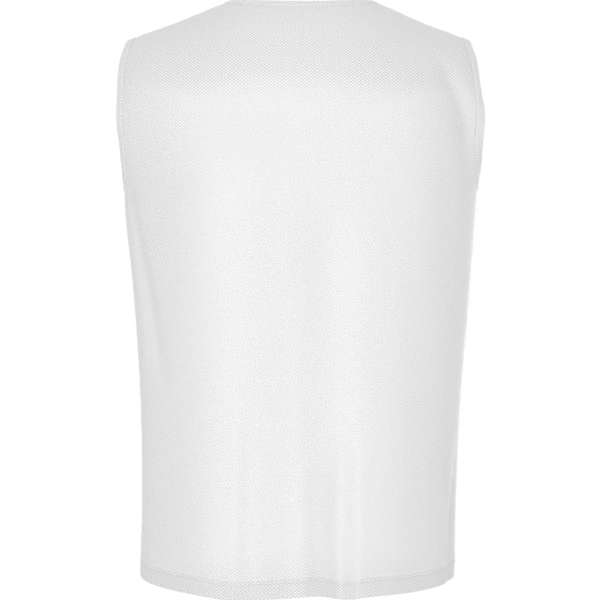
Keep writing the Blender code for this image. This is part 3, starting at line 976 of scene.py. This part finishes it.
def stitchTree():
    # short arcs of thread along a path, turned to lie on the cloth
    group = bpy.data.node_groups.new("stitches", "GeometryNodeTree")
    sockets = [("Path", "Geometry")] + [(name, "Float") for name in stitchSizes]
    for name, kind in sockets + [("Seed", "Int"), ("Finish", "Material")]:
        group.interface.new_socket(name=name, in_out="INPUT", socket_type="NodeSocket" + kind)
    group.interface.new_socket(name="Stitches", in_out="OUTPUT", socket_type="NodeSocketGeometry")
    tree = Tree(group)
    asked = tree.add("NodeGroupInput").socket.node.outputs
    asked = {socket.name: Wire(tree, socket) for socket in asked if socket.name}

    curve = tree.add("GeometryNodeMeshToCurve", None, {"Mesh": asked["Path"]})
    places = tree.add("GeometryNodeCurveToPoints", {"mode": "LENGTH"},
                      {"Curve": curve, "Length": asked["Spacing"]})
    along = Wire(tree, places.socket.node.outputs["Tangent"])
    outward = tree.add("GeometryNodeInputNamedAttribute", {"data_type": "FLOAT_VECTOR"}, {"Name": "outward"})
    laid = tree.add("FunctionNodeAxesToRotation", {"primary_axis": "Z", "secondary_axis": "X"},
                    {"Primary Axis": outward, "Secondary Axis": along})
    toAndFro = tree.calc("MODULO", tree.add("GeometryNodeInputIndex"), 2.0) * 2.0 - 1.0
    slant = tree.add("ShaderNodeCombineXYZ", None, {"Z": toAndFro * asked["Turn"]})
    slant = tree.add("FunctionNodeEulerToRotation", None, {"Euler": slant})
    laid = tree.add("FunctionNodeRotateRotation", {"rotation_space": "LOCAL"},
                    {"Rotation": laid, "Rotate By": slant})

    half, deep = asked["Length"] * 0.5, asked["Rise"] * -1.0
    start = tree.add("ShaderNodeCombineXYZ", None, {"X": half * -1.0, "Z": deep})
    middle = tree.add("ShaderNodeCombineXYZ", None, {"Z": asked["Rise"] * stitchShape["crown"]})
    end = tree.add("ShaderNodeCombineXYZ", None, {"X": half, "Z": deep})
    arc = tree.add("GeometryNodeCurveQuadraticBezier", None,
                   {"Resolution": stitchShape["steps"], "Start": start, "Middle": middle, "End": end})
    section = tree.add("GeometryNodeCurvePrimitiveCircle", {"mode": "RADIUS"},
                       {"Resolution": stitchShape["sides"], "Radius": asked["Thread"] * 0.5})
    stitch = tree.add("GeometryNodeCurveToMesh", None,
                      {"Curve": arc, "Profile Curve": section, "Fill Caps": True})
    stitch = tree.add("GeometryNodeSetShadeSmooth", None, {"Geometry": stitch})
    uneven = asked["Unevenness"]
    spread = tree.add("FunctionNodeRandomValue", {"data_type": "FLOAT"},
                      {2: 1.0 - uneven, 3: 1.0 + uneven, "Seed": asked["Seed"]}, out=1)
    sewn = tree.add("GeometryNodeInstanceOnPoints", None,
                    {"Points": places, "Instance": stitch, "Rotation": laid, "Scale": spread})
    sewn = tree.add("GeometryNodeRealizeInstances", None, {"Geometry": sewn})
    sewn = tree.add("GeometryNodeSetMaterial", None, {"Geometry": sewn, "Material": asked["Finish"]})
    tree.add("NodeGroupOutput", None, {"Stitches": sewn})
    return group


sewing = stitchTree()


def sew(name, kind, paths, seed):
    # each path has its points, the way out of the cloth at each, and whether it closes
    points, outward, edges = [], [], []
    for line, out, closed in paths:
        first = len(points)
        points.extend(line)
        outward.extend(out)
        edges.extend((k, k + 1) for k in range(first, len(points) - 1))
        if closed:
            edges.append((len(points) - 1, first))
    piece, data = newPiece(name, points, edges, [])
    layer = data.attributes.new("outward", "FLOAT_VECTOR", "POINT")
    layer.data.foreach_set("vector", np.asarray(outward, np.float32).ravel())
    modifier = piece.modifiers.new("stitches", "NODES")
    modifier.node_group = sewing
    chosen = dict(zip(stitchSizes, stitches[kind]), Seed=seed, Finish=threadMaterial)
    for item in sewing.interface.items_tree:
        if item.in_out == "INPUT" and item.name in chosen:
            modifier[item.identifier] = chosen[item.name]
    made = piece.evaluated_get(bpy.context.evaluated_depsgraph_get())
    sewn = bpy.data.meshes.new_from_object(made)
    piece.modifiers.clear()
    piece.data = sewn
    bpy.data.meshes.remove(data)
    sewn.name = name
    print(f"{name}: {len(sewn.polygons)} faces")
    return piece


def hemLine(key, row, lift=0.0):
    hem = slice(None), mesh["hemRows"].index(row)
    outs = unit(edgeLoop("normals", *hem))
    return edgeLoop(key, *hem) + outs * lift, outs


# The overlock lies inside the back panel: how far from a seam, and how far from the neckline it stops
overlock = {"fromSeam": 0.0033, "fromNeck": 0.002, "nearColumns": 12}


def overlockLines(part):
    # along the two shoulder seams, then along the two side seams
    lines = []
    flat, inner, inwards = part["flat"], part["inner"], -part["normals"]
    distance, near = overlock["fromSeam"], list(range(overlock["nearColumns"]))
    fromTop = lengths(flat - flat[:, -1:])
    for way in (1, -1):
        chosen = np.flatnonzero(way * part["grid"][:, -1, 0] > cut["neckHalfWidth"] + overlock["fromNeck"])
        row = np.abs(fromTop[chosen] - distance).argmin(axis=1)
        lines.append((inner[chosen, row], inwards[chosen, row], False))
    for columns in (near, [-1 - k for k in near]):
        rows = range(len(mesh["hemRows"]) - 1, armSlice.start)
        away = [lengths(flat[columns, j] - flat[columns[0], j]) for j in rows]
        line, out = (np.array([[np.interp(distance, apart, values[columns, j, axis]) for axis in range(3)]
                               for j, apart in zip(rows, away)]) for values in (inner, inwards))
        lines.append((line, unit(out), False))
    return lines


hemRows = [hemLine("outer", row, cloth["threadLift"]) for row in cloth["stitchRows"]]
hemStitches = sew("hem_stitches", "hem", [(line, outs, True) for line, outs in hemRows], 3)
(low, outs), (high, _) = (hemLine("inner", row) for row in cloth["stitchRows"])
hemUnder = sew("hem_under_thread", "under", [((low + high) / 2, -outs, True)], 5)
neckStitches = sew("neck_stitches", "edge", [(neckSewn, neckOut, True)], 7)
armStitches = sew("armhole_stitches", "edge", [(leftSewn, leftOut, True), (rightSewn, rightOut, True)], 9)
overlockThread = sew("overlock_thread", "overlock", overlockLines(backCut), 11)
print("sewing ready")

standsFor = [
    (backPanel, "back_panel", "mesh_cloth"),
    (frontPanel, "front_panel", "mesh_cloth"),
    (neckBinding, "neck_binding", "binding_cloth"),
    (leftBinding, "armhole_binding_left", "binding_cloth"),
    (rightBinding, "armhole_binding_right", "binding_cloth"),
]
for piece, node, slot in standsFor:
    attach(piece, "root")
    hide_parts(node)
sewn = [hemStitches, hemUnder, neckStitches, armStitches, overlockThread]
for piece in sewn:
    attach(piece, "root")
[neckBinding, leftBinding, rightBinding] + sewn

# Camera, light and floor

view = {"place": (0.0, 2.6, -0.200), "aim": (0.0, 0.0, -0.349), "lens": 133.5}


def addCamera():
    data = bpy.data.cameras.new("camera")
    data.lens = view["lens"]
    data.sensor_width = 36.0
    camera = bpy.data.objects.new("camera", data)
    camera.location = view["place"]
    look = Vector(view["aim"]) - Vector(view["place"])
    camera.rotation_euler = look.to_track_quat("-Z", "Y").to_euler()
    bpy.context.scene.collection.objects.link(camera)
    bpy.context.scene.camera = camera


# A white tent: an even glow and soft patches of light, each with its direction, tightness and strength. The
# first eleven strengths come from a least-squares fit by another script, and the last two were set by hand.
tent = {
    "glow": 0.575,
    "patches": [
        ((0.10, 1.0, 0.0), 80.0, 2.62),
        ((0.36, 1.0, 0.0), 80.0, 1.92),
        ((0.50, 1.0, 0.0), 80.0, 1.51),
        ((0.36, 1.0, 0.0), 20.0, 0.86),
        ((0.00, 1.0, 0.0), 20.0, 0.87),
        ((-0.36, 1.0, 0.0), 20.0, 0.07),
        ((0.70, 1.0, 0.0), 20.0, 0.67),
        ((0.25, 1.0, -0.4), 20.0, 0.72),
        ((0.0, 1.0, -1.0), 3.0, 0.20),
        ((0.0, 0.0, 1.0), 3.0, 0.49),
        ((-1.0, 0.0, 0.0), 3.0, 0.34),
        ((0.0, -1.0, 0.0), 3.0, 0.50),
        ((-0.30, -1.0, -0.10), 20.0, 2.00),
    ],
}


def addWorld():
    world = bpy.data.worlds.new("studio")
    world.use_nodes = True
    world.node_tree.nodes.clear()
    tree = Tree(world.node_tree)
    towards = tree.add("ShaderNodeTexCoord")
    strength = tent["glow"]
    for direction, tightness, power in tent["patches"]:
        facing = tree.add("ShaderNodeVectorMath", {"operation": "DOT_PRODUCT"},
                          {0: towards, 1: Vector(direction).normalized()}, out=1)
        glow = tree.calc("POWER", tree.calc("MAXIMUM", facing, 0.0), tightness)
        strength = glow * power + strength
    seen = tree.add("ShaderNodeLightPath")
    lit, shown = (tree.add("ShaderNodeBackground", None, {"Color": (1.0, 1.0, 1.0, 1.0), "Strength": power})
                  for power in (strength, 1.0))
    both = tree.add("ShaderNodeMixShader", None, {0: seen, 1: lit, 2: shown})
    tree.add("ShaderNodeOutputWorld", None, {"Surface": both})
    bpy.context.scene.world = world


ground = {
    "sides": 96,
    "radius": 3.0,
    "height": -1.45,
    "dark": (0.90, 0.90, 0.90, 1.0),
    "light": (0.93, 0.93, 0.93, 1.0),
    "grainScale": 1.5,
    "roughness": 0.9,
}


def addFloor():
    radius, sides = ground["radius"], ground["sides"]
    points = [(radius * math.cos(2 * math.pi * k / sides), radius * math.sin(2 * math.pi * k / sides),
               ground["height"]) for k in range(sides)]
    material, tree = newMaterial("floor")
    grain = tree.noise(tree.add("ShaderNodeTexCoord", out=3), ground["grainScale"])
    body = tree.mixColour(grain, ground["dark"], ground["light"])
    finishMaterial(tree, {"Base Color": body, "Roughness": ground["roughness"]})
    addMesh("floor", points, [tuple(range(sides))], material)


addCamera()
addWorld()
addFloor()
bpy.context.scene.view_settings.view_transform = "Standard"
print("stage ready")
